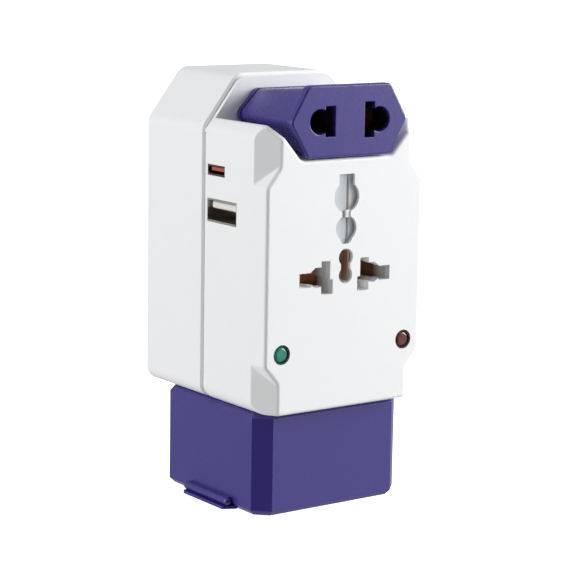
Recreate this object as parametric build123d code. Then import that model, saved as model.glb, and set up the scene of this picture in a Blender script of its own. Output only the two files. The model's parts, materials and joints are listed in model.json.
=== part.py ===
"""Universal travel adapter: white main module, plug-in Euro adapter in its top trough, UK adapter below."""
import os
from build123d import *

# Frame: millimetres, +Z up, -Y is the socket face, origin on the ground under the module.

# White main module
BODY_HALF_W = 25.3
FACE_Y = -27.8
REAR_Y = 29.8
BODY_BOTTOM_Z = 27.8
BODY_TOP_Z = 113.1
TOP_HALF_W = 14.5
SHOULDER_Z = 99.2
RAISE = 0.9
WALL = 2.0
FRONT_END_Y = -0.3
PLATE_Y0 = -0.2
PLATE_Y1 = 0.9
REAR_START_Y = 1.3
TOP_CORNER_R = 4.0
BOTTOM_CORNER_R = 3.5
FACE_EDGE_R = 1.0
REAR_EDGE_R = 1.8
FACET_X = 20.8
FACET_Y = -21.6

# Universal socket, measured from the live and neutral row
ROW_Z = 62.7
INSERT_Y0 = -25.75
INSERT_Y1 = -15.0
CHAMBER_Y = -20.8
LEAF_Y0 = -26.6
LEAF_Y1 = -25.4
LEAF_SPLIT_X = 1.15
LEAF_Z0 = ROW_Z + 7.6
LEAF_Z1 = ROW_Z + 27.6
LEAF_TRAVEL = 5.4

# Indicator lights
LED_X = 19.9
LED_Z = 44.0
LED_R = 2.15
LED_BORE_R = 2.6

# Charging ports on the left side
USB_A = (-14.2, -0.45, 75.9, 81.8)
USB_C = (-8.6, -0.45, 88.1, 90.7)
PORT_GAP = 0.15

# Euro adapter
EURO_Z = 103.45
EURO_FACE_Y = -28.6
EURO_LIP_Y = -27.4
EURO_HALF_W = 18.8
EURO_FLAT = 13.2
EURO_HALF_H = 9.3
EURO_HOLE_X = 9.5
EURO_HOLE_R = 3.25
EURO_PIN_R = 2.4
EURO_PIN_END_Y = 18.8
TROUGH_Z = 93.75

# UK adapter under the module
BASE_HALF_W = 23.7
BASE_Y0 = -24.1
BASE_Y1 = 23.1
BASE_TOP_Z = 27.5
BASE_CORNER = 4.0
TAB_X = 26.5
UK_PIN_X = 11.0
UK_PIN_Y = -10.75
UK_EARTH_Y = 11.45
UK_PIN_TOP_Z = BASE_TOP_Z + 17.7
UK_EARTH_TOP_Z = BASE_TOP_Z + 22.7
STRAP_Z = 14.0
BASE_SCREWS = ((-17.0, -18.6), (17.0, -18.6), (-17.0, 17.8), (17.0, 17.8))

# Folding blades at the back
HINGE_Y = 23.4
HINGE_Z = 74.0
DRUM_R = 4.6
BLADE_X = 6.35
BLADE_T = 1.5
BLADE_END_Z = 52.6
RECESS_HALF_W = 12.0
RECESS_Y = 18.0
RECESS_Z0 = 51.2
RECESS_Z1 = 79.2

# Case screws
SCREW_POINTS = ((-20.6, 34.0), (20.6, 34.0), (-20.7, 94.2), (20.7, 94.2))
SCREW_R = 1.25


def box(x0, x1, y0, y1, z0, z1):
    """Block between two corners."""
    return Pos((x0 + x1) / 2, (y0 + y1) / 2, (z0 + z1) / 2) * Box(x1 - x0, y1 - y0, z1 - z0)


def along_y(sketch, y0, y1):
    """Front-view outline (x, z) drawn out from y0 to y1."""
    return extrude(Pos(0, y1, 0) * (Plane.XZ * sketch), y1 - y0)


def along_z(sketch, z0, z1):
    """Plan outline (x, y) drawn up from z0 to z1."""
    return extrude(Pos(0, 0, z0) * sketch, z1 - z0)


def along_x(sketch, x0, x1):
    """Side-view outline (y, z) drawn out from x0 to x1."""
    return extrude(Pos(x0, 0, 0) * (Plane.YZ * sketch), x1 - x0)


def polygon(points):
    """Flat outline through the given corners."""
    return make_face(Polyline(*points, close=True))


def rect(x0, x1, z0, z1):
    """Flat rectangle between two corners."""
    return Pos((x0 + x1) / 2, (z0 + z1) / 2) * Rectangle(x1 - x0, z1 - z0)


def disc(x, z, r):
    """Flat disc."""
    return Pos(x, z) * Circle(r)


def rod_y(x, z, r, y0, y1):
    """Round bar along Y."""
    return along_y(disc(x, z, r), y0, y1)


def both_sides(shape):
    """A shape together with its mirror image left to right."""
    return shape + mirror(shape, Plane.YZ)


def body_outline(raised=0.0):
    """Front outline of the white module, its top corners cut at a slant."""
    top = BODY_TOP_Z + raised
    shoulder = SHOULDER_Z + 1.3 * raised
    half_top = TOP_HALF_W + 0.3 * raised
    shape = polygon([
        (-BODY_HALF_W, BODY_BOTTOM_Z),
        (BODY_HALF_W, BODY_BOTTOM_Z),
        (BODY_HALF_W, shoulder),
        (half_top, top),
        (-half_top, top),
        (-BODY_HALF_W, shoulder),
    ])
    low = shape.vertices().filter_by_position(Axis.Y, 0, BODY_BOTTOM_Z + 1)
    shape = fillet(low, BOTTOM_CORNER_R)
    high = shape.vertices().filter_by_position(Axis.Y, SHOULDER_Z - 1, top + 1)
    return fillet(high, TOP_CORNER_R)


def trough_outline():
    """Notch across the top of the front casing, where the Euro adapter lies."""
    shape = polygon([
        (-14.4, TROUGH_Z),
        (14.4, TROUGH_Z),
        (25.5, TROUGH_Z + 12.7),
        (25.5, 120.0),
        (-25.5, 120.0),
        (-25.5, TROUGH_Z + 12.7),
    ])
    floor = shape.vertices().filter_by_position(Axis.Y, TROUGH_Z - 1, TROUGH_Z + 1)
    return fillet(floor, 2.0)


def front_section():
    """Front outline with the trough taken out and its two tips rounded."""
    section = body_outline(RAISE) - trough_outline()
    tips = section.vertices().filter_by_position(Axis.Y, 102.5, 104.5)
    return fillet(tips, 1.3)


def facet_cutter(sign):
    """Corner wedges taken off the front edge, above and below the full-width middle."""
    wedge = polygon([
        (sign * FACET_X, FACE_Y - 1.38),
        (sign * FACET_X, FACE_Y),
        (sign * BODY_HALF_W, FACET_Y),
        (sign * (BODY_HALF_W + 1), FACET_Y),
        (sign * (BODY_HALF_W + 1), FACE_Y - 1.38),
    ])
    upper = polygon([(sign * 26.4, 85.8), (sign * 20.5, 93.25), (sign * 20.5, 120.0), (sign * 26.4, 120.0)])
    lower = polygon([(sign * 26.4, 42.3), (sign * 20.5, 35.4), (sign * 20.5, 20.0), (sign * 26.4, 20.0)])
    column = along_z(wedge, 20, 120)
    band_up = along_y(upper, FACE_Y - 2, FACET_Y + 1)
    band_low = along_y(lower, FACE_Y - 2, FACET_Y + 1)
    return (column & band_up) + (column & band_low)


def line_opening(grow=0.0):
    """Combined opening on the right of the row: UK slot, round pin hole, flat and slanted blade slots."""
    shape = rect(11.0 - grow, 14.75 + grow, ROW_Z - 1.9 - grow, ROW_Z + 1.9 + grow)
    shape += disc(9.0, ROW_Z + 0.4, 2.6 + grow)
    shape += rect(4.9 - grow, 7.75 + grow, ROW_Z - 4.1 - grow, ROW_Z + 4.6 + grow)
    shape += rect(4.0 - grow, 7.0, ROW_Z - 4.2 - grow, ROW_Z - 0.3 + grow)
    shape += polygon([
        (7.0, ROW_Z),
        (11.2 + grow, ROW_Z),
        (11.2 + grow, ROW_Z + 1.9 + grow),
        (9.7, ROW_Z + 3.1 + grow),
        (7.0, ROW_Z + 3.1 + grow),
    ])
    return shape


def earth_opening(grow=0.0):
    """Earth opening above the row: UK slot over a large round hole, then a neck and a smaller round hole."""
    shape = rect(-2.5 - grow, 2.5 + grow, ROW_Z + 20.9, ROW_Z + 26.9 + grow)
    shape += disc(0, ROW_Z + 20.9, 4.05 + grow)
    shape += rect(-1.4 - grow, 1.4 + grow, ROW_Z + 14.0, ROW_Z + 18.0)
    shape += disc(0, ROW_Z + 12.7, 3.37 + grow)
    shape += disc(0, ROW_Z + 10.7, 2.2 + grow)
    return shape


def middle_opening(grow=0.0):
    """Two merged round holes on the row's centre line."""
    shape = disc(0.1, ROW_Z + 5.1, 2.3 + grow)
    shape += disc(0.1, ROW_Z + 0.4, 2.2 + grow)
    shape += rect(-1.45 - grow, 1.65 + grow, ROW_Z + 0.4, ROW_Z + 5.1)
    return shape


def socket_openings(grow=0.0):
    """All openings of the universal socket."""
    right = line_opening(grow)
    left = mirror(right, Plane.YZ)
    return [right, left, earth_opening(grow), middle_opening(grow)]


def leaf_space(y0, y1):
    """Flat space in which the two earth shutter leaves slide."""
    return box(-12.4, 12.4, y0, y1, LEAF_Z0 - 0.3, LEAF_Z1 + 0.3)


def middle_space(y0, y1, gap=0.0):
    """Shallow step around the middle opening, where the wall is thin."""
    return box(-3.8 - gap, 3.8 + gap, y0, y1, ROW_Z - 3.0 - gap, ROW_Z + 7.0)


def front_housing():
    """Front casing with the socket face, trough, corner facets, port openings and screw bosses."""
    section = front_section()
    shell = along_y(section, FACE_Y, FRONT_END_Y)
    for sign in (-1, 1):
        shell -= facet_cutter(sign)
    rim = [e for e in shell.edges() if e.center().Y < FACET_Y + 0.05]
    shell = fillet(rim, FACE_EDGE_R)
    plan = polygon([
        (-18.6, FACE_Y + WALL),
        (18.6, FACE_Y + WALL),
        (BODY_HALF_W - WALL, FACET_Y + 2.0),
        (BODY_HALF_W - WALL, 1.0),
        (-BODY_HALF_W + WALL, 1.0),
        (-BODY_HALF_W + WALL, FACET_Y + 2.0),
    ])
    hollow = along_y(offset(section, -WALL), FACE_Y + WALL, 1.0) & along_z(plan, 20, 120)
    shell -= hollow
    for x, z in SCREW_POINTS:
        shell += rod_y(x, z, 3.0, -12.0, FRONT_END_Y)
        shell -= rod_y(x, z, SCREW_R + 0.05, -11.0, FRONT_END_Y + 1)
    for sign in (-1, 1):
        shell -= rod_y(sign * LED_X, LED_Z, LED_BORE_R, FACE_Y - 1, -19.0)
        shell -= box(sign * UK_PIN_X - 3.6, sign * UK_PIN_X + 3.6, UK_PIN_Y - 2.4, UK_PIN_Y + 2.4, 27.0, 30.5)
    for sketch in socket_openings():
        shell -= along_y(sketch, FACE_Y - 1, FACE_Y + WALL + 0.1)
    shell += box(0.2, 1.6, FACE_Y + 0.35, FACE_Y + 1.0, ROW_Z + 15.5, ROW_Z + 17.4)
    shell -= leaf_space(FACE_Y + 1.0, FACE_Y + WALL + 0.1)
    shell -= middle_space(FACE_Y + 1.0, FACE_Y + WALL + 0.1)
    for y0, y1, z0, z1 in (USB_A, USB_C):
        shell -= box(-26.0, -22.0, y0 - PORT_GAP, 1.0, z0 - PORT_GAP, z1 + PORT_GAP)
    return shell


def mid_plate():
    """Upright plate between the casings: white dock wall above, a recessed band in the parting line below."""
    plate = along_y(body_outline(), PLATE_Y0, PLATE_Y1)
    band = along_y(body_outline() - offset(body_outline(), -0.45), PLATE_Y0 - 1, PLATE_Y1 + 1)
    plate -= band & box(-30, 30, -3, 3, 20, 99.0)
    plate -= along_y(fillet(rect(-16.5, 16.5, 52.0, 90.0).vertices(), 3.0), PLATE_Y0 - 1, PLATE_Y1 + 1)
    for sign in (-1, 1):
        plate -= rod_y(sign * EURO_HOLE_X, EURO_Z, EURO_PIN_R + 0.3, PLATE_Y0 - 1, PLATE_Y1 + 1)
    for x, z in SCREW_POINTS:
        plate -= rod_y(x, z, SCREW_R + 0.15, PLATE_Y0 - 1, PLATE_Y1 + 1)
    return plate


def seam_gasket():
    """Thin dark gasket between the upright plate and the rear casing."""
    ring = along_y(offset(body_outline(), -0.7), PLATE_Y1, REAR_START_Y)
    return ring - along_y(offset(body_outline(), -1.9), PLATE_Y1 - 1, REAR_START_Y + 1)


def rear_housing():
    """Rear casing with the blade recess, hinge bosses, screw posts and the storage hole for the earth pin."""
    outline = body_outline(RAISE)
    shell = along_y(outline, REAR_START_Y, REAR_Y)
    back = shell.edges().filter_by_position(Axis.Y, REAR_Y - 0.01, REAR_Y + 0.01)
    shell = fillet(back, REAR_EDGE_R)
    front = shell.edges().filter_by_position(Axis.Y, REAR_START_Y - 0.01, REAR_START_Y + 0.01)
    shell = chamfer(front, 0.6)
    shell -= along_y(offset(outline, -WALL), REAR_START_Y - 1, REAR_Y - WALL)
    for x, z in SCREW_POINTS:
        shell += rod_y(x, z, 3.0, REAR_START_Y + 0.2, REAR_Y - 1.0)
    shell += box(-15.4, 15.4, RECESS_Y - 1.6, REAR_Y - 1.0, RECESS_Z0 - 1.6, RECESS_Z1 + 1.6)
    shell -= box(-RECESS_HALF_W, RECESS_HALF_W, RECESS_Y, REAR_Y + 1, RECESS_Z0, RECESS_Z1)
    thumb = Pos(0, REAR_Y + 4.0, RECESS_Z0 + 1.5) * Sphere(9.0)
    shell -= thumb & box(-10, 10, 21.0, 35.0, 40.0, 60.0)
    shell -= Pos(0, HINGE_Y, HINGE_Z) * Rot(0, 90, 0) * Cylinder(1.65, 29.0)
    shell -= box(-2.4, 2.4, UK_EARTH_Y - 4.4, UK_EARTH_Y + 4.4, 27.0, 30.5)
    for x, z in SCREW_POINTS:
        shell -= rod_y(x, z, SCREW_R + 0.15, 0.0, REAR_Y + 1)
        shell -= rod_y(x, z, 2.2, REAR_Y - 5.0, REAR_Y + 1)
    return shell


def case_screw(x, z):
    """Countersunk case screw with a cross recess."""
    head_y = REAR_Y - 5.0
    screw = rod_y(x, z, SCREW_R, -8.0, head_y)
    screw += rod_y(x, z, 2.05, head_y, head_y + 1.4)
    screw -= box(x - 1.2, x + 1.2, head_y + 0.6, head_y + 2, z - 0.25, z + 0.25)
    screw -= box(x - 0.25, x + 0.25, head_y + 0.6, head_y + 2, z - 1.2, z + 1.2)
    return screw


def socket_insert():
    """Light grey guide block behind the face: pin tunnels that open into the contact chambers."""
    block = box(-17.4, 17.4, INSERT_Y0, INSERT_Y1, ROW_Z - 7.0, ROW_Z + 28.8)
    block = fillet(block.edges().filter_by(Axis.Y), 2.0)
    block += middle_space(FACE_Y + 1.05, INSERT_Y0 + 0.1, -0.2)
    for sketch in socket_openings(0.1):
        block -= along_y(sketch, INSERT_Y0 - 1, INSERT_Y1 + 1)
    block -= leaf_space(FACE_Y, -25.1)
    block -= box(1.5, 2.1, FACE_Y, INSERT_Y1 + 1, ROW_Z - 1.8, ROW_Z + 6.7)
    chamber = box(3.5, 15.6, CHAMBER_Y, INSERT_Y1 + 1, ROW_Z - 5.4, ROW_Z + 5.6)
    return block - both_sides(chamber)


def line_contact(sign):
    """Sprung copper contact of one line: back plate with fingers for round, flat and UK pins."""
    contact = box(4.0, 15.2, -15.5, -15.1, ROW_Z - 5.0, ROW_Z + 5.2)
    contact += box(9.2, 15.0, -20.4, -15.5, ROW_Z + 2.8, ROW_Z + 3.2)
    contact += box(9.2, 15.0, -20.4, -15.5, ROW_Z - 2.8, ROW_Z - 2.4)
    contact += box(4.0, 4.4, -20.4, -15.5, ROW_Z - 4.6, ROW_Z + 4.8)
    contact += box(6.0, 8.0, -15.1, -8.0, ROW_Z - 5.0, ROW_Z - 4.6)
    if sign < 0:
        contact = mirror(contact, Plane.YZ)
    return contact


def earth_contact():
    """Copper earth strip behind the centre line, with a finger beside each round hole."""
    strip = box(-3.1, 3.1, -14.7, -14.3, ROW_Z - 2.5, ROW_Z + 27.0)
    strip += box(1.6, 2.0, -26.6, -23.9, ROW_Z - 1.5, ROW_Z + 6.4)
    strip += box(1.6, 2.0, -23.9, -14.7, ROW_Z + 1.9, ROW_Z + 3.7)
    strip += box(-2.3, -1.9, -20.0, -14.7, ROW_Z + 22.0, ROW_Z + 26.4)
    strip += box(-2.9, -2.5, -20.0, -14.7, ROW_Z + 11.6, ROW_Z + 13.8)
    return strip


def shutter_leaf(sign):
    """One sliding leaf of the earth shutter; a small ridge on its back takes the spring."""
    if sign < 0:
        leaf = box(-6.4, LEAF_SPLIT_X - 0.08, LEAF_Y0, LEAF_Y1, LEAF_Z0, LEAF_Z1)
        near = leaf.edges().filter_by(Axis.Z).sort_by(Axis.X)[-2:].sort_by(Axis.Y)[0]
    else:
        leaf = box(LEAF_SPLIT_X + 0.08, 6.4, LEAF_Y0, LEAF_Y1, LEAF_Z0, LEAF_Z1)
        near = leaf.edges().filter_by(Axis.Z).sort_by(Axis.X)[:2].sort_by(Axis.Y)[0]
    return chamfer(near, 0.35)


def led_lens(sign):
    """Domed indicator lens and its body."""
    lens = rod_y(sign * LED_X, LED_Z, LED_R, -27.6, -19.3)
    front = lens.edges().filter_by_position(Axis.Y, -27.61, -27.59)
    return fillet(front, 0.9)


def led_bezels():
    """Dark rings between the two lenses and the casing."""
    rings = []
    for sign in (-1, 1):
        ring = rod_y(sign * LED_X, LED_Z, LED_BORE_R - 0.01, -27.55, -24.0)
        rings.append(ring - rod_y(sign * LED_X, LED_Z, LED_R + 0.02, -29.0, -22.0))
    return Compound(rings)


def led_board():
    """Narrow circuit board behind the two lights."""
    board = box(-22.3, 22.3, -18.9, -17.5, 40.0, 48.0)
    for sign in (-1, 1):
        board += rod_y(sign * LED_X, LED_Z, 1.8, -19.2, -18.9)
        board += box(sign * 13 - 1.4, sign * 13 + 1.4, -19.8, -18.9, 43.0, 45.0)
    return board


def tube_frame(bounds, x0, x1, wall, radius):
    """Thin open-ended metal sleeve lying along X."""
    y0, y1, z0, z1 = bounds
    outer = fillet(rect(y0, y1, z0, z1).vertices(), radius)
    inner = fillet(rect(y0 + wall, y1 - wall, z0 + wall, z1 - wall).vertices(), radius - wall)
    return along_x(outer, x0, x1) - along_x(inner, x0 - 1, x1 - 0.4)


def usb_a_shell():
    """Metal sleeve of the large charging port, with its spring windows."""
    shell = tube_frame(USB_A, -25.1, -11.2, 0.35, 0.5)
    for y in (-10.8, -3.9):
        shell -= box(-20.0, -17.0, y - 0.9, y + 0.9, USB_A[3] - 0.6, USB_A[3] + 0.5)
        shell -= box(-20.0, -17.0, y - 0.9, y + 0.9, USB_A[2] - 0.5, USB_A[2] + 0.6)
    return shell


def usb_a_tongue():
    """Plastic tongue in the upper half of the large port."""
    tongue = box(-24.2, -11.7, -12.8, -1.8, 79.3, 81.1)
    lip = tongue.edges().filter_by(Axis.Y).sort_by(Axis.X)[:2]
    return chamfer(lip, 0.3)


def usb_a_pins():
    """Four flat contacts under the tongue of the large port."""
    pins = []
    for i in range(4):
        y = -10.8 + 2.33 * i
        pins.append(box(-23.4, -12.4, y - 0.5, y + 0.5, 79.12, 79.29))
    return Compound(pins)


def usb_c_shell():
    """Rounded metal sleeve of the small charging port."""
    return tube_frame(USB_C, -25.0, -16.5, 0.3, 1.25)


def usb_c_tongue():
    """Orange tongue of the small port."""
    tongue = box(-24.6, -16.95, -7.7, -1.3, 89.25, 90.15)
    lip = tongue.edges().filter_by(Axis.Z).sort_by(Axis.X)[:2]
    return fillet(lip, 0.6)


def usb_board():
    """Upright board that carries both charging ports."""
    board = box(-11.0, -9.6, -14.2, -1.0, 71.0, 91.2)
    board += box(-16.3, -11.0, -8.4, -0.7, 88.3, 90.5)
    board += box(-9.6, -8.4, -10.0, -6.0, 74.0, 78.0)
    return board


def power_board():
    """Upright power board in the rear casing."""
    board = box(-17.6, 17.6, 3.0, 4.6, 53.0, 98.0)
    for sign in (-1, 1):
        board -= rod_y(sign * 15.4, 55.5, 1.0, 2.0, 6.0)
        board -= rod_y(sign * 15.4, 95.5, 1.0, 2.0, 6.0)
    return board


def transformer_core():
    """Laminated ferrite core of the charger transformer."""
    core = box(-14.0, 2.0, 5.2, 15.2, 84.0, 97.0)
    core -= box(-12.0, 0.0, 4.0, 16.0, 86.5, 94.5)
    return core + box(-8.2, -3.8, 6.7, 13.7, 86.0, 95.0)


def transformer_coil():
    """Taped winding around the middle limb of the transformer."""
    coil = box(-11.5, -0.5, 5.4, 15.0, 86.9, 94.1)
    coil = fillet(coil.edges().filter_by(Axis.Z), 2.0)
    return coil - box(-8.25, -3.75, 6.65, 13.75, 80.0, 99.0)


def capacitors():
    """Two upright electrolytic capacitors."""
    cans = []
    for x, z, r in ((10.0, 91.0, 5.0), (12.0, 60.0, 4.0)):
        can = rod_y(x, z, r, 4.7, 15.4)
        cans.append(chamfer(can.edges().filter_by_position(Axis.Y, 15.39, 15.41), 0.5))
    return Compound(cans)


def board_fuse():
    """Cylindrical fuse across the power board."""
    tube = Pos(-3.0, 9.0, 60.0) * Rot(0, 90, 0) * Cylinder(2.6, 20.0)
    return tube


def fuse_clips():
    """Spring clips that hold the fuse on the power board."""
    clips = []
    for x in (-11.5, 5.5):
        clip = box(x - 1.0, x + 1.0, 4.7, 10.5, 56.6, 63.4)
        clips.append(clip - box(x - 2, x + 2, 5.2, 11.0, 57.2, 62.8))
    return Compound(clips)


def blade_drum():
    """Hinged carrier of the folding blades, with its two trunnions."""
    drum = Pos(0, HINGE_Y, HINGE_Z) * Rot(0, 90, 0) * Cylinder(DRUM_R, 2 * RECESS_HALF_W - 0.7)
    drum = chamfer(drum.edges(), 0.4)
    drum += Pos(0, HINGE_Y, HINGE_Z) * Rot(0, 90, 0) * Cylinder(1.6, 28.2)
    for sign in (-1, 1):
        bore = Pos(sign * BLADE_X, HINGE_Y, HINGE_Z - 2.6) * Cylinder(3.4, 6.4)
        drum -= bore
    return drum


def blade(sign):
    """Flat blade on a round twisting foot; the left blade is the wider one."""
    width = 7.9 if sign < 0 else 6.35
    foot = Pos(sign * BLADE_X, HINGE_Y, HINGE_Z - 2.1) * Cylinder(3.34, 4.8)
    flat = rect(-BLADE_T / 2, BLADE_T / 2, -width / 2, width / 2)
    stem = Pos(sign * BLADE_X, HINGE_Y, 0) * along_z(flat, BLADE_END_Z, HINGE_Z - 4.5)
    tip = stem.edges().filter_by_position(Axis.Z, BLADE_END_Z - 0.01, BLADE_END_Z + 0.01)
    stem = chamfer(tip, 0.5)
    return foot + stem


def euro_hexagon(half_w, flat, half_h, radius):
    """Six-sided outline of the Euro adapter."""
    shape = polygon([
        (-half_w, EURO_Z),
        (-flat, EURO_Z + half_h),
        (flat, EURO_Z + half_h),
        (half_w, EURO_Z),
        (flat, EURO_Z - half_h),
        (-flat, EURO_Z - half_h),
    ])
    return fillet(shape.vertices(), radius)


def euro_section(half_w, flat, half_h, radius, y):
    """Outline of the Euro adapter placed at y."""
    return Pos(0, y, 0) * (Plane.XZ * euro_hexagon(half_w, flat, half_h, radius))


def euro_keyhole(sign):
    """Round pin hole merged with a flat blade slot; the right slot is the longer one."""
    half = 3.9 if sign < 0 else 4.6
    slot = rect(4.8, 7.8, EURO_Z - half, EURO_Z + half)
    if sign < 0:
        slot = mirror(slot, Plane.YZ)
    return disc(sign * EURO_HOLE_X, EURO_Z, EURO_HOLE_R) + slot


def euro_head():
    """Six-sided flange of the Euro adapter with its two keyhole openings."""
    head = along_y(euro_hexagon(EURO_HALF_W, EURO_FLAT, EURO_HALF_H, 2.0), EURO_FACE_Y, -26.0)
    head = fillet(head.edges().filter_by_position(Axis.Y, EURO_FACE_Y - 0.01, EURO_FACE_Y + 0.01), 0.6)
    head = fillet(head.edges().filter_by_position(Axis.Y, -26.01, -25.99), 0.6)
    for sign in (-1, 1):
        head -= along_y(euro_keyhole(sign), EURO_FACE_Y - 1, -25.0)
    lips = head.edges().filter_by_position(Axis.Y, EURO_FACE_Y - 0.01, EURO_FACE_Y + 0.01)
    lips = [e for e in lips if abs(e.center().X) < 13.5 and abs(e.center().Z - EURO_Z) < 5.0]
    head = fillet(lips, 0.25)
    return head - along_y(euro_hexagon(15.3, 10.9, 6.9, 1.0), EURO_LIP_Y, -25.0)


def euro_stem():
    """Tapering six-sided stem of the Euro adapter, hollow from end to end."""
    front = euro_section(17.2, 12.3, 8.4, 2.0, -25.95)
    back = euro_section(16.5, 10.2, 6.5, 2.0, -2.0)
    inner_front = euro_section(15.3, 10.9, 6.9, 1.0, -25.96)
    inner_back = euro_section(14.4, 8.9, 4.9, 1.0, -1.9)
    return loft([front, back], ruled=True) - loft([inner_front, inner_back], ruled=True)


def euro_guide():
    """Black guide block behind the flange, with the same keyholes."""
    front = euro_section(15.1, 10.7, 6.7, 1.0, EURO_LIP_Y + 0.1)
    back = euro_section(14.9, 10.4, 6.4, 1.0, -21.6)
    block = loft([front, back], ruled=True)
    for sign in (-1, 1):
        block -= along_y(euro_keyhole(sign), -28.0, -21.0)
    return block


def euro_rear_cap():
    """Rear collar of the Euro adapter, pierced by its two pins."""
    cap = along_y(euro_hexagon(16.7, 10.3, 6.65, 2.0), -1.8, -0.5)
    cap += along_y(euro_hexagon(14.0, 8.5, 4.6, 1.0), -3.9, -1.8)
    for sign in (-1, 1):
        cap -= rod_y(sign * EURO_HOLE_X, EURO_Z, EURO_PIN_R + 0.02, -4.0, 0.0)
    return cap


def euro_pin(sign):
    """Round plug pin with a rounded tip."""
    pin = rod_y(sign * EURO_HOLE_X, EURO_Z, EURO_PIN_R, -12.4, EURO_PIN_END_Y)
    tip = pin.edges().filter_by_position(Axis.Y, EURO_PIN_END_Y - 0.01, EURO_PIN_END_Y + 0.01)
    return fillet(tip, 1.9)


def euro_contact(sign):
    """Split brass sleeve behind one keyhole, closed at the back where the pin is riveted on."""
    x = sign * EURO_HOLE_X
    sleeve = rod_y(x, EURO_Z, 3.75, -21.4, -12.5)
    sleeve -= rod_y(x, EURO_Z, 3.3, -27.0, -13.0)
    return sleeve - box(min(x, 0), max(x, 0), -27.0, -13.0, EURO_Z - 4.0, EURO_Z + 4.0)


def base_plan(inset=0.0):
    """Plan outline of the UK adapter, its four corners cut off."""
    x = BASE_HALF_W - inset
    y0 = BASE_Y0 + inset
    y1 = BASE_Y1 - inset
    c = BASE_CORNER - 0.4 * inset
    return polygon([
        (-x + c, y0), (x - c, y0), (x, y0 + c), (x, y1 - c),
        (x - c, y1), (-x + c, y1), (-x, y1 - c), (-x, y0 + c),
    ])


def grip_tab():
    """Finger tab on the right side of the UK adapter: a thin flange under a rounded ridge."""
    flange = along_z(polygon([
        (BASE_HALF_W - 1.0, -12.6),
        (BASE_HALF_W, -12.3),
        (TAB_X, -10.9),
        (TAB_X, 8.0),
        (BASE_HALF_W, 8.8),
        (BASE_HALF_W - 1.0, 9.0),
    ]), 0.0, 0.8)
    flange = fillet(flange.edges().filter_by(Axis.Z).sort_by(Axis.X)[-2:], 0.8)
    ridge = Pos(TAB_X - 1.7, -1.4, 1.9) * Rot(90, 0, 0) * Cylinder(1.1, 19.0)
    ridge += Pos(TAB_X - 1.7, 8.1, 1.9) * Sphere(1.1)
    ridge += Pos(TAB_X - 1.7, -10.9, 1.9) * Sphere(1.1)
    ridge += box(BASE_HALF_W - 1.0, TAB_X - 1.7, -10.9, 8.1, 0.8, 3.0)
    return flange + ridge


def base_shell():
    """Purple shell of the UK adapter with bevelled rims, corner cuts and a grip tab on both sides."""
    shell = along_z(base_plan(), 0.0, BASE_TOP_Z)
    shell = chamfer(shell.edges().filter_by_position(Axis.Z, BASE_TOP_Z - 0.01, BASE_TOP_Z + 0.01), 1.25)
    shell = chamfer(shell.edges().filter_by_position(Axis.Z, -0.01, 0.01), 1.4)
    shell = fillet(shell.edges(), 0.35)
    shell -= along_z(base_plan(2.2), -1.0, BASE_TOP_Z - WALL)
    for x, y in BASE_SCREWS:
        shell += Pos(x, y, 14.5) * Cylinder(2.6, 23.0)
        shell -= Pos(x, y, 10.0) * Cylinder(1.3, 20.0)
    for sign in (-1, 1):
        pin = box(sign * UK_PIN_X - 3.2, sign * UK_PIN_X + 3.2, UK_PIN_Y - 2.02, UK_PIN_Y + 2.02, 20.0, 30.0)
        shell -= pin
    shell -= box(-2.02, 2.02, UK_EARTH_Y - 4.02, UK_EARTH_Y + 4.02, 20.0, 30.0)
    return shell + both_sides(grip_tab())


def base_bottom():
    """Flat plate closing the UK adapter underneath, with a receptacle for the flat blades."""
    plate = along_z(base_plan(2.3), 0.0, 2.0)
    for sign, half in ((-1, 4.15), (1, 3.4)):
        plate -= box(sign * BLADE_X - 1.0, sign * BLADE_X + 1.0, -half, half, -1.0, 3.0)
    for x, y in BASE_SCREWS:
        plate -= Pos(x, y, 1.0) * Cylinder(1.4, 3.0)
        plate -= Pos(x, y, 0.6) * Cylinder(2.3, 1.4)
    return plate


def base_screw(x, y):
    """Flat-headed screw holding the bottom plate."""
    screw = Pos(x, y, 0.85) * Cylinder(2.1, 0.8)
    screw += Pos(x, y, 6.0) * Cylinder(SCREW_R, 10.0)
    screw -= box(x - 1.3, x + 1.3, y - 0.25, y + 0.25, 0.0, 0.8)
    return screw


def uk_line_pin(sign):
    """Rectangular UK line pin, waisted where its sleeve sits."""
    x = sign * UK_PIN_X
    pin = box(x - 3.175, x + 3.175, UK_PIN_Y - 2.0, UK_PIN_Y + 2.0, STRAP_Z + 0.6, UK_PIN_TOP_Z)
    tip = pin.edges().filter_by_position(Axis.Z, UK_PIN_TOP_Z - 0.01, UK_PIN_TOP_Z + 0.01)
    pin = chamfer(tip, 0.8)
    waist = box(x - 5, x + 5, UK_PIN_Y - 5, UK_PIN_Y + 5, 26.0, 36.5)
    core = box(x - 2.6, x + 2.6, UK_PIN_Y - 1.4, UK_PIN_Y + 1.4, 25.0, 37.0)
    return pin - (waist - core)


def uk_pin_sleeves():
    """Insulating sleeves at the roots of the two line pins."""
    sleeves = []
    for sign in (-1, 1):
        x = sign * UK_PIN_X
        sleeve = box(x - 3.175, x + 3.175, UK_PIN_Y - 2.0, UK_PIN_Y + 2.0, 26.0, 36.5)
        sleeves.append(sleeve - box(x - 2.6, x + 2.6, UK_PIN_Y - 1.4, UK_PIN_Y + 1.4, 25.0, 37.0))
    return Compound(sleeves)


def uk_earth_pin():
    """Longer rectangular UK earth pin."""
    pin = box(-2.0, 2.0, UK_EARTH_Y - 4.0, UK_EARTH_Y + 4.0, STRAP_Z + 0.6, UK_EARTH_TOP_Z)
    tip = pin.edges().filter_by_position(Axis.Z, UK_EARTH_TOP_Z - 0.01, UK_EARTH_TOP_Z + 0.01)
    return chamfer(tip, 0.8)


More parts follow.
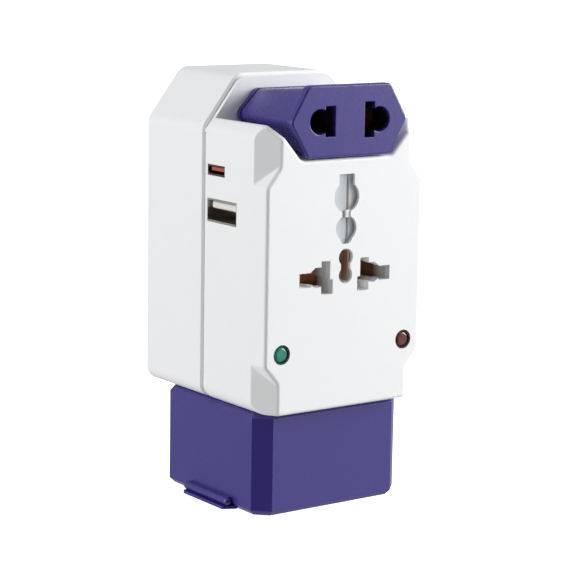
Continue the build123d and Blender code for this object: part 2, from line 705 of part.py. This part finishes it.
def base_contact(sign):
    """Sprung receptacle contact in the UK adapter, with the strap its line pin stands on."""
    x = BLADE_X
    contact = box(x - 1.25, x - 0.9, -3.0, 3.0, 3.2, STRAP_Z)
    contact += box(x + 0.9, x + 1.25, -3.0, 3.0, 3.2, STRAP_Z)
    contact += box(x - 1.25, 13.8, -12.9, 3.0, STRAP_Z, STRAP_Z + 0.55)
    if sign < 0:
        contact = mirror(contact, Plane.YZ)
    return contact


def base_earth_strap():
    """Strap under the earth pin."""
    return box(-2.4, 2.4, 6.8, 17.0, STRAP_Z, STRAP_Z + 0.55)


def base_fuse():
    """Ceramic plug fuse lying across the UK adapter, with its two end caps."""
    return Pos(0, -17.6, 20.2) * Rot(0, 90, 0) * Cylinder(3.15, 13.0)


def base_fuse_caps():
    """Metal end caps of the plug fuse."""
    caps = []
    for x in (-9.6, 9.6):
        caps.append(Pos(x, -17.6, 20.2) * Rot(0, 90, 0) * Cylinder(3.2, 6.2))
    return Compound(caps)


def write_parts():
    """Every separate piece goes to its own file."""
    pieces = {
        "front_housing": front_housing(),
        "mid_plate": mid_plate(),
        "seam_gasket": seam_gasket(),
        "rear_housing": rear_housing(),
        "case_screws": Compound([case_screw(x, z) for x, z in SCREW_POINTS]),
        "socket_insert": socket_insert(),
        "contact_left": line_contact(-1),
        "contact_right": line_contact(1),
        "contact_earth": earth_contact(),
        "shutter_left": shutter_leaf(-1),
        "shutter_right": shutter_leaf(1),
        "led_green": led_lens(-1),
        "led_red": led_lens(1),
        "led_bezels": led_bezels(),
        "led_board": led_board(),
        "usb_a_shell": usb_a_shell(),
        "usb_a_tongue": usb_a_tongue(),
        "usb_a_pins": usb_a_pins(),
        "usb_c_shell": usb_c_shell(),
        "usb_c_tongue": usb_c_tongue(),
        "usb_board": usb_board(),
        "power_board": power_board(),
        "transformer_core": transformer_core(),
        "transformer_coil": transformer_coil(),
        "capacitors": capacitors(),
        "board_fuse": board_fuse(),
        "fuse_clips": fuse_clips(),
        "blade_drum": blade_drum(),
        "blade_left": blade(-1),
        "blade_right": blade(1),
        "euro_head": euro_head(),
        "euro_stem": euro_stem(),
        "euro_guide": euro_guide(),
        "euro_rear_cap": euro_rear_cap(),
        "euro_pin_left": euro_pin(-1),
        "euro_pin_right": euro_pin(1),
        "euro_contact_left": euro_contact(-1),
        "euro_contact_right": euro_contact(1),
        "base_shell": base_shell(),
        "base_bottom": base_bottom(),
        "base_screws": Compound([base_screw(x, y) for x, y in BASE_SCREWS]),
        "uk_pin_left": uk_line_pin(-1),
        "uk_pin_right": uk_line_pin(1),
        "uk_pin_sleeves": uk_pin_sleeves(),
        "uk_pin_earth": uk_earth_pin(),
        "base_contact_left": base_contact(-1),
        "base_contact_right": base_contact(1),
        "base_earth_strap": base_earth_strap(),
        "base_fuse": base_fuse(),
        "base_fuse_caps": base_fuse_caps(),
    }
    for name, shape in pieces.items():
        export_step(shape, "parts/" + name + ".step")


os.makedirs("parts", exist_ok=True)
write_parts()
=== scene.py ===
import json
import math
import bpy
from mathutils import Matrix, Vector

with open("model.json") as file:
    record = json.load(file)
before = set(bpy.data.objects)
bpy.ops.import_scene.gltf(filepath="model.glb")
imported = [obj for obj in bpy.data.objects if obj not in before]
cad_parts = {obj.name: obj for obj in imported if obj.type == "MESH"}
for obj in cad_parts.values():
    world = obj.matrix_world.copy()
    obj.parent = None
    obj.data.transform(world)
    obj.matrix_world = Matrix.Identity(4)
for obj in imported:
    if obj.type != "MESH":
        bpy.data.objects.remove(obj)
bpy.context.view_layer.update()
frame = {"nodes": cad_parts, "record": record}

NODES = frame["nodes"]

FLOOR_HALF = 6.0
FLOOR_GLOW = 0.95
LIGHT_TARGET = Vector((0.0, 0.0, 0.06))
VIEWER_SIDE = (-0.58, -0.8, 0.1)
CAMERA_TARGET = Vector((-0.01833, -0.0278, 0.06136))
CAMERA_DISTANCE = 0.52818
CAMERA_YAW = math.radians(36.02)
CAMERA_PITCH = math.radians(10.14)
CAMERA_ROLL = math.radians(0.96)


# Materials

def new_material(name, base, rough, metallic=0.0):
    """Principled material and the nodes it is built from."""
    mat = bpy.data.materials.new(name)
    mat.use_nodes = True
    shader = mat.node_tree.nodes["Principled BSDF"]
    shader.inputs["Base Color"].default_value = (*base, 1.0)
    shader.inputs["Roughness"].default_value = rough
    shader.inputs["Metallic"].default_value = metallic
    return mat, mat.node_tree, shader


def noise(tree, scale, detail=3.0, stretch=(1.0, 1.0, 1.0)):
    """Noise in object coordinates."""
    coords = tree.nodes.new("ShaderNodeTexCoord")
    mapping = tree.nodes.new("ShaderNodeMapping")
    mapping.inputs["Scale"].default_value = stretch
    tex = tree.nodes.new("ShaderNodeTexNoise")
    tex.inputs["Scale"].default_value = scale
    tex.inputs["Detail"].default_value = detail
    tree.links.new(coords.outputs["Object"], mapping.inputs["Vector"])
    tree.links.new(mapping.outputs["Vector"], tex.inputs["Vector"])
    return tex.outputs["Fac"]


def spread(tree, value, low, high):
    """Maps a noise value into a range."""
    node = tree.nodes.new("ShaderNodeMapRange")
    node.inputs["From Min"].default_value = 0.2
    node.inputs["From Max"].default_value = 0.8
    node.inputs["To Min"].default_value = low
    node.inputs["To Max"].default_value = high
    tree.links.new(value, node.inputs["Value"])
    return node.outputs["Result"]


def tint(tree, value, first, second):
    """Blends two colours by a value."""
    ramp = tree.nodes.new("ShaderNodeValToRGB")
    ramp.color_ramp.elements[0].position = 0.15
    ramp.color_ramp.elements[0].color = (*first, 1.0)
    ramp.color_ramp.elements[1].position = 0.85
    ramp.color_ramp.elements[1].color = (*second, 1.0)
    tree.links.new(value, ramp.inputs["Fac"])
    return ramp.outputs["Color"]


def relief(tree, shader, value, strength, distance):
    """Fine bump on the shader."""
    bump = tree.nodes.new("ShaderNodeBump")
    bump.inputs["Strength"].default_value = strength
    bump.inputs["Distance"].default_value = distance
    tree.links.new(value, bump.inputs["Height"])
    tree.links.new(bump.outputs["Normal"], shader.inputs["Normal"])


def plastic(name, dark, light, rough, grain, depth, coat=0.0):
    """Moulded plastic: slight colour drift, uneven gloss and a fine spark-eroded grain."""
    mat, tree, shader = new_material(name, light, rough)
    drift = noise(tree, 260.0, 4.0)
    tree.links.new(tint(tree, drift, dark, light), shader.inputs["Base Color"])
    gloss = spread(tree, noise(tree, 320.0, 4.0), rough - 0.02, rough + 0.02)
    tree.links.new(gloss, shader.inputs["Roughness"])
    relief(tree, shader, noise(tree, grain, 2.0), 0.25, depth)
    shader.inputs["Coat Weight"].default_value = coat
    shader.inputs["Coat Roughness"].default_value = 0.15
    return mat


def copper_reflection_plastic(name, front, reflected_copper, y_front, y_back, rough):
    """Moulded grey plastic with a painted reflection of the copper contacts: it turns copper-brown towards
    its depth.
    """
    mat, tree, shader = new_material(name, front, rough)
    coords = tree.nodes.new("ShaderNodeTexCoord")
    axes = tree.nodes.new("ShaderNodeSeparateXYZ")
    tree.links.new(coords.outputs["Object"], axes.inputs["Vector"])
    fade = tree.nodes.new("ShaderNodeMapRange")
    fade.inputs["From Min"].default_value = y_front
    fade.inputs["From Max"].default_value = y_back
    tree.links.new(axes.outputs["Y"], fade.inputs["Value"])
    tree.links.new(tint(tree, fade.outputs["Result"], front, reflected_copper), shader.inputs["Base Color"])
    gloss = spread(tree, noise(tree, 300.0, 2.0), rough - 0.06, rough + 0.06)
    tree.links.new(gloss, shader.inputs["Roughness"])
    relief(tree, shader, noise(tree, 2200.0, 2.0), 0.3, 0.00002)
    return mat


def metal(name, dark, light, rough, stretch=(1.0, 1.0, 1.0)):
    """Drawn or plated metal with faint streaks."""
    mat, tree, shader = new_material(name, light, rough, 1.0)
    tree.links.new(tint(tree, noise(tree, 220.0, 4.0, stretch), dark, light), shader.inputs["Base Color"])
    streaks = noise(tree, 700.0, 3.0, stretch)
    tree.links.new(spread(tree, streaks, rough - 0.06, rough + 0.08), shader.inputs["Roughness"])
    relief(tree, shader, streaks, 0.25, 0.00002)
    return mat


def lens_plastic(name, dark, light, painted_glow):
    """Tinted translucent lens, with a painted glow from its emission."""
    mat, tree, shader = new_material(name, light, 0.12)
    tree.links.new(tint(tree, noise(tree, 500.0, 2.0), dark, light), shader.inputs["Base Color"])
    shader.inputs["Transmission Weight"].default_value = 0.25
    shader.inputs["Emission Color"].default_value = (*light, 1.0)
    shader.inputs["Emission Strength"].default_value = painted_glow
    relief(tree, shader, noise(tree, 900.0, 2.0), 0.2, 0.00003)
    return mat


WHITE = plastic("white_shell", (0.905, 0.915, 0.92), (0.925, 0.93, 0.94), 0.36, 2600.0, 0.000015, 0.1)
PURPLE = plastic("purple_shell", (0.045, 0.0305, 0.224), (0.046, 0.0312, 0.227), 0.27, 2600.0, 0.000005, 0.1)
GREY = plastic("grey_plastic", (0.50, 0.53, 0.55), (0.56, 0.59, 0.61), 0.5, 2200.0, 0.00002)
# Lighter copy of the shutter grey for the right leaf: painted light, so that leaf reads lit against the
# darker left leaf.
GREY_PAINTED_LIT = plastic("grey_plastic_painted_lit", (0.66, 0.67, 0.67), (0.72, 0.73, 0.73), 0.5, 2200.0, 0.00002)
# Socket insert: grey plastic with a painted copper reflection, fading in copper-brown towards the back of
# the openings.
SOCKET_REFLECTION_Y = (-0.0245, -0.0185)
SOCKET_PAINTED_COPPER = copper_reflection_plastic("socket_plastic_painted_reflection", (0.80, 0.81, 0.81), (0.40, 0.22, 0.13), *SOCKET_REFLECTION_Y, 0.45)
BLACK = plastic("sleeve_black", (0.010, 0.010, 0.012), (0.016, 0.016, 0.018), 0.5, 2200.0, 0.00002)
# The seam gasket is coloured near black as painted shade in the gap between the shells.
SEAM_PAINTED_SHADE = plastic("gasket_painted_shade", (0.010, 0.012, 0.013), (0.016, 0.019, 0.020), 0.6, 1800.0, 0.00002)
PORT_WHITE = plastic("port_white", (0.78, 0.78, 0.76), (0.86, 0.86, 0.84), 0.35, 2200.0, 0.00002)
ORANGE = plastic("port_orange", (0.40, 0.060, 0.020), (0.52, 0.085, 0.030), 0.35, 2200.0, 0.00002)
COPPER = metal("copper", (0.80, 0.48, 0.32), (0.92, 0.62, 0.44), 0.38)
PLATED = metal("plug_metal", (0.60, 0.60, 0.62), (0.72, 0.72, 0.74), 0.22, (1.0, 1.0, 0.15))
PORT_STEEL = metal("port_metal", (0.42, 0.40, 0.35), (0.52, 0.49, 0.43), 0.28, (0.2, 1.0, 1.0))
PORT_DARK = metal("port_dark_metal", (0.075, 0.065, 0.060), (0.12, 0.10, 0.09), 0.4, (0.2, 1.0, 1.0))
SCREW = metal("screw_steel", (0.45, 0.45, 0.46), (0.58, 0.58, 0.6), 0.32)
# The lenses' emission is a painted glow in the lens colour.
GREEN_LENS = lens_plastic("lens_green", (0.008, 0.16, 0.12), (0.02, 0.34, 0.25), 0.10)
RED_LENS = lens_plastic("lens_red", (0.12, 0.02, 0.018), (0.20, 0.05, 0.04), 0.02)
BOARD = plastic("circuit_board", (0.02, 0.12, 0.05), (0.03, 0.17, 0.07), 0.35, 1200.0, 0.00003)
FERRITE = plastic("ferrite", (0.02, 0.02, 0.022), (0.05, 0.05, 0.055), 0.6, 900.0, 0.00005)
TAPE = plastic("winding_tape", (0.55, 0.38, 0.05), (0.70, 0.50, 0.08), 0.3, 1500.0, 0.00003)
CAN = plastic("capacitor_can", (0.01, 0.012, 0.03), (0.02, 0.022, 0.05), 0.3, 1500.0, 0.00002)
CERAMIC = plastic("ceramic", (0.68, 0.65, 0.58), (0.78, 0.75, 0.69), 0.45, 1200.0, 0.00003)

BY_SLOT = {
    "white_shell": WHITE,
    "purple_shell": PURPLE,
    "grey_plastic": GREY,
    "copper": COPPER,
    "plug_metal": PLATED,
    "sleeve_black": BLACK,
    "port_metal": PORT_STEEL,
    "port_white": PORT_WHITE,
    "port_orange": ORANGE,
    "lens_green": GREEN_LENS,
    "lens_red": RED_LENS,
    "circuit_board": BOARD,
    "ferrite": FERRITE,
    "winding_tape": TAPE,
    "capacitor_can": CAN,
    "screw_steel": SCREW,
    "ceramic": CERAMIC,
}

BY_NODE = {
    "seam_gasket": SEAM_PAINTED_SHADE,
    "socket_insert": SOCKET_PAINTED_COPPER,
    "shutter_right": GREY_PAINTED_LIT,
    "usb_c_shell": PORT_DARK,
}

for sub in frame["record"]["subparts"]:
    finish = BY_NODE.get(sub["node"], BY_SLOT[sub["material_slot"]])
    for material_slot in NODES[sub["node"]].material_slots:
        material_slot.material = finish


# Stage

def stage_floor():
    """Plain pale lightbox floor, which is seen but leaves the light on the object alone."""
    mesh = bpy.data.meshes.new("floor")
    s = FLOOR_HALF
    mesh.from_pydata([(-s, -s, 0), (s, -s, 0), (s, s, 0), (-s, s, 0)], [], [(0, 1, 2, 3)])
    floor = bpy.data.objects.new("floor", mesh)
    bpy.context.scene.collection.objects.link(floor)
    mat, tree, shader = new_material("floor_white", (0.9, 0.9, 0.9), 0.6)
    mottle = tint(tree, noise(tree, 6.0, 2.0), (0.89, 0.89, 0.89), (0.91, 0.91, 0.91))
    tree.links.new(mottle, shader.inputs["Base Color"])
    shader.inputs["Specular IOR Level"].default_value = 0.2
    shader.inputs["Emission Color"].default_value = (1.0, 1.0, 1.0, 1.0)
    shader.inputs["Emission Strength"].default_value = FLOOR_GLOW
    floor.data.materials.append(mat)
    floor.visible_diffuse = False
    floor.visible_glossy = False
    floor.visible_shadow = False


def area_light(name, direction, distance, size, power):
    """Square soft light aimed at the middle of the object."""
    light = bpy.data.lights.new(name, "AREA")
    light.size = size
    light.energy = power
    lamp = bpy.data.objects.new(name, light)
    lamp.location = LIGHT_TARGET + Vector(direction).normalized() * distance
    lamp.rotation_euler = (LIGHT_TARGET - lamp.location).to_track_quat("-Z", "Y").to_euler()
    bpy.context.scene.collection.objects.link(lamp)


def studio():
    """White surroundings, a little dimmer towards the viewer, with a soft light on each side."""
    world = bpy.data.worlds.new("studio")
    world.use_nodes = True
    tree = world.node_tree
    coords = tree.nodes.new("ShaderNodeTexCoord")
    facing = tree.nodes.new("ShaderNodeVectorMath")
    facing.operation = "DOT_PRODUCT"
    facing.inputs[1].default_value = VIEWER_SIDE
    tree.links.new(coords.outputs["Generated"], facing.inputs[0])
    halve = tree.nodes.new("ShaderNodeMapRange")
    halve.inputs["From Min"].default_value = -1.0
    tree.links.new(facing.outputs["Value"], halve.inputs["Value"])
    fade = tree.nodes.new("ShaderNodeValToRGB")
    ramp = fade.color_ramp
    ramp.interpolation = "EASE"
    ramp.elements[0].position = 0.40
    ramp.elements[0].color = (0.44, 0.44, 0.45, 1.0)
    ramp.elements[1].position = 0.95
    ramp.elements[1].color = (0.05, 0.05, 0.05, 1.0)
    bright = ramp.elements.new(0.60)
    bright.color = (1.0, 1.0, 1.0, 1.0)
    tree.links.new(halve.outputs["Result"], fade.inputs["Fac"])
    tree.links.new(fade.outputs["Color"], tree.nodes["Background"].inputs["Color"])
    bpy.context.scene.world = world
    area_light("right_key", (0.87, -0.50, 0.30), 1.3, 0.8, 20.5)
    area_light("left_fill", (-0.92, 0.38, 0.22), 1.3, 0.9, 8.8)
    bpy.context.scene.view_settings.view_transform = "Standard"
    bpy.context.scene.view_settings.look = "None"


def camera():
    """Camera looking at the near left corner from slightly above."""
    yaw, pitch, roll = CAMERA_YAW, CAMERA_PITCH, CAMERA_ROLL
    forward = Vector((math.sin(yaw) * math.cos(pitch), math.cos(yaw) * math.cos(pitch), -math.sin(pitch)))
    right = Vector((math.cos(yaw), -math.sin(yaw), 0.0))
    up = right.cross(forward)
    side = right * math.cos(roll) + up * math.sin(roll)
    head = up * math.cos(roll) - right * math.sin(roll)
    spot = CAMERA_TARGET - forward * CAMERA_DISTANCE
    data = bpy.data.cameras.new("camera")
    data.sensor_width = 36.0
    data.lens = 129.35
    cam = bpy.data.objects.new("camera", data)
    cam.matrix_world = Matrix((
        (side.x, head.x, -forward.x, spot.x),
        (side.y, head.y, -forward.y, spot.y),
        (side.z, head.z, -forward.z, spot.z),
        (0.0, 0.0, 0.0, 1.0),
    ))
    bpy.context.scene.collection.objects.link(cam)
    bpy.context.scene.camera = cam


stage_floor()
studio()
camera()
